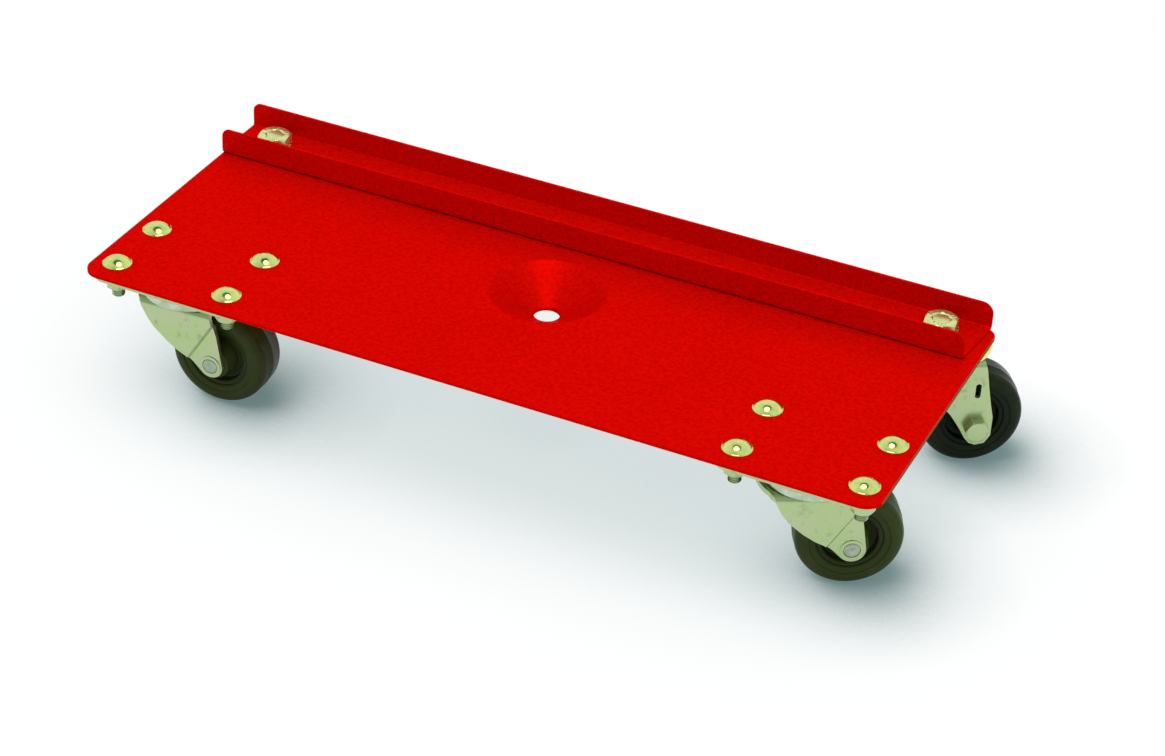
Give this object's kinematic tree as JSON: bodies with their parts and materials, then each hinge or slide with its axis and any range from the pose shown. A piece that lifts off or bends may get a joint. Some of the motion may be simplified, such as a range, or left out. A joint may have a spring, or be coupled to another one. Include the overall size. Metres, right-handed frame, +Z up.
{
  "type": "rolling garage dolly",
  "caption": "Low rolling garage dolly: flat pressed steel deck with a dished hole, an open guide channel along the back edge and swivel casters at the corners.",
  "frame": {"origin": "on the floor, straight below the middle of the deck's rectangle", "axes": "+X along the length of the deck, +Y from the front edge to the channel at the back edge, +Z up"},
  "size_m": [0.556, 0.2309, 0.105],
  "materials": {
    "deck_red": "glossy red enamel over smooth pressed sheet steel",
    "zinc": "satin zinc plate with a pale yellow-green passivate",
    "bright_zinc": "bright yellow-green zinc plate, polished by pressing",
    "ball_steel": "ground bearing steel, lightly greased",
    "front_tyre": "smooth moulded dark olive rubber",
    "front_core": "moulded dark olive polymer with fine turning rings",
    "rear_tyre": "smooth moulded near-black rubber",
    "rear_core": "moulded near-black polymer"
  },
  "bodies": {
    "deck": {"deck_plate": "deck_red", "guide_channel": "deck_red", "carriage_bolts": "bright_zinc", "bolt_washers": "zinc", "bolt_nuts": "zinc", "stem_washers": "bright_zinc", "stem_nuts": "bright_zinc", "front_left_top_plate": "zinc", "front_left_upper_race": "bright_zinc", "front_left_kingpin": "zinc", "front_left_upper_balls": "ball_steel", "front_left_lower_balls": "ball_steel", "front_left_lower_race": "zinc", "front_right_top_plate": "zinc", "front_right_upper_race": "bright_zinc", "front_right_kingpin": "zinc", "front_right_upper_balls": "ball_steel", "front_right_lower_balls": "ball_steel", "front_right_lower_race": "zinc", "rear_left_stem": "bright_zinc", "rear_left_upper_race": "bright_zinc", "rear_left_upper_balls": "ball_steel", "rear_left_lower_balls": "ball_steel", "rear_left_lower_race": "zinc", "rear_right_stem": "bright_zinc", "rear_right_upper_race": "bright_zinc", "rear_right_upper_balls": "ball_steel", "rear_right_lower_balls": "ball_steel", "rear_right_lower_race": "zinc"},
    "front_left_caster": {"front_left_fork": "zinc", "front_left_axle_rivet": "zinc", "front_left_axle_sleeve": "ball_steel"},
    "front_left_wheel": {"front_left_wheel_core": "front_core", "front_left_tyre": "front_tyre"},
    "front_right_caster": {"front_right_fork": "zinc", "front_right_axle_rivet": "zinc", "front_right_axle_sleeve": "ball_steel"},
    "front_right_wheel": {"front_right_wheel_core": "front_core", "front_right_tyre": "front_tyre"},
    "rear_left_caster": {"rear_left_fork": "zinc", "rear_left_axle_bolt": "zinc", "rear_left_axle_nut": "zinc", "rear_left_axle_sleeve": "ball_steel"},
    "rear_left_wheel": {"rear_left_wheel_core": "rear_core", "rear_left_tyre": "rear_tyre"},
    "rear_right_caster": {"rear_right_fork": "zinc", "rear_right_axle_bolt": "zinc", "rear_right_axle_nut": "zinc", "rear_right_axle_sleeve": "ball_steel"},
    "rear_right_wheel": {"rear_right_wheel_core": "rear_core", "rear_right_tyre": "rear_tyre"}
  },
  "joints": [
    {"name": "front_left_swivel", "type": "hinge", "parent": "deck", "child": "front_left_caster", "pos_m": [-0.2025, -0.062, 0.0695], "axis": [0, 0, 1], "continuous": true},
    {"name": "front_left_roll", "type": "hinge", "parent": "front_left_caster", "child": "front_left_wheel", "pos_m": [-0.17953, -0.0608, 0.03175], "axis": [-0.0523, 0.9986, 0], "continuous": true},
    {"name": "front_right_swivel", "type": "hinge", "parent": "deck", "child": "front_right_caster", "pos_m": [0.2025, -0.062, 0.0695], "axis": [0, 0, 1], "continuous": true},
    {"name": "front_right_roll", "type": "hinge", "parent": "front_right_caster", "child": "front_right_wheel", "pos_m": [0.22281, -0.0512, 0.03175], "axis": [-0.4695, 0.8829, 0], "continuous": true},
    {"name": "rear_left_swivel", "type": "hinge", "parent": "deck", "child": "rear_left_caster", "pos_m": [-0.2305, 0.08675, 0.0695], "axis": [0, 0, 1], "continuous": true},
    {"name": "rear_left_roll", "type": "hinge", "parent": "rear_left_caster", "child": "rear_left_wheel", "pos_m": [-0.25, 0.09894, 0.03175], "axis": [-0.5299, -0.848, 0], "continuous": true},
    {"name": "rear_right_swivel", "type": "hinge", "parent": "deck", "child": "rear_right_caster", "pos_m": [0.2235, 0.08675, 0.0695], "axis": [0, 0, 1], "continuous": true},
    {"name": "rear_right_roll", "type": "hinge", "parent": "rear_right_caster", "child": "rear_right_wheel", "pos_m": [0.243, 0.09894, 0.03175], "axis": [-0.5299, 0.848, 0], "continuous": true}
  ]
}
